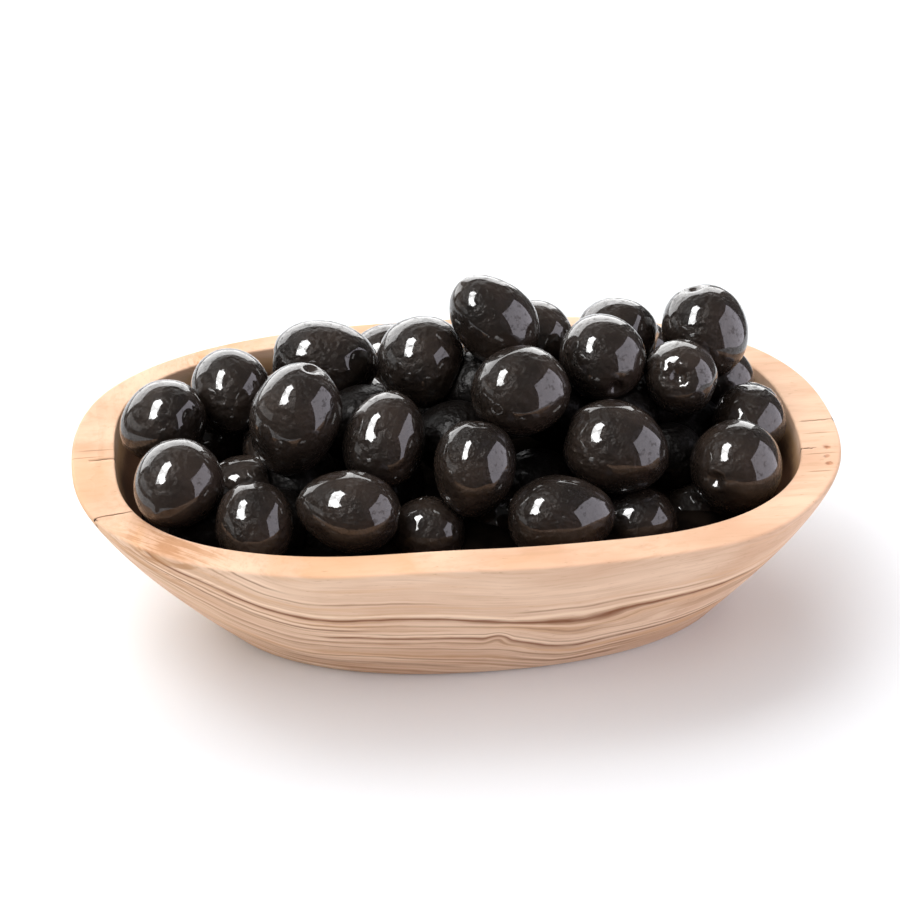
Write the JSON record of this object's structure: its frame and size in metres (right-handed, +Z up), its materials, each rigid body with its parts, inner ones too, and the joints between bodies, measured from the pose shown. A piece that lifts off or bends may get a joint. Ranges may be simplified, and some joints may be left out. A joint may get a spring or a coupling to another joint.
{
  "type": "dish of olives",
  "caption": "Oval carved wooden snack dish with a flat rim and sloping sides, heaped above the rim with glossy whole black olives.",
  "frame": {"origin": "centre of the dish's outline, on the plane that its base stands on", "axes": "+X along the long side of the dish, +Y across it to the side away from the viewer, +Z up"},
  "size_m": [0.172, 0.1148, 0.0792],
  "materials": {
    "wood": "smooth oiled olive wood with dark grain lines",
    "olive_skin": "wet glossy black olive skin"
  },
  "bodies": {
    "root": {"bowl": "wood", "olives": "olive_skin"}
  },
  "joints": []
}
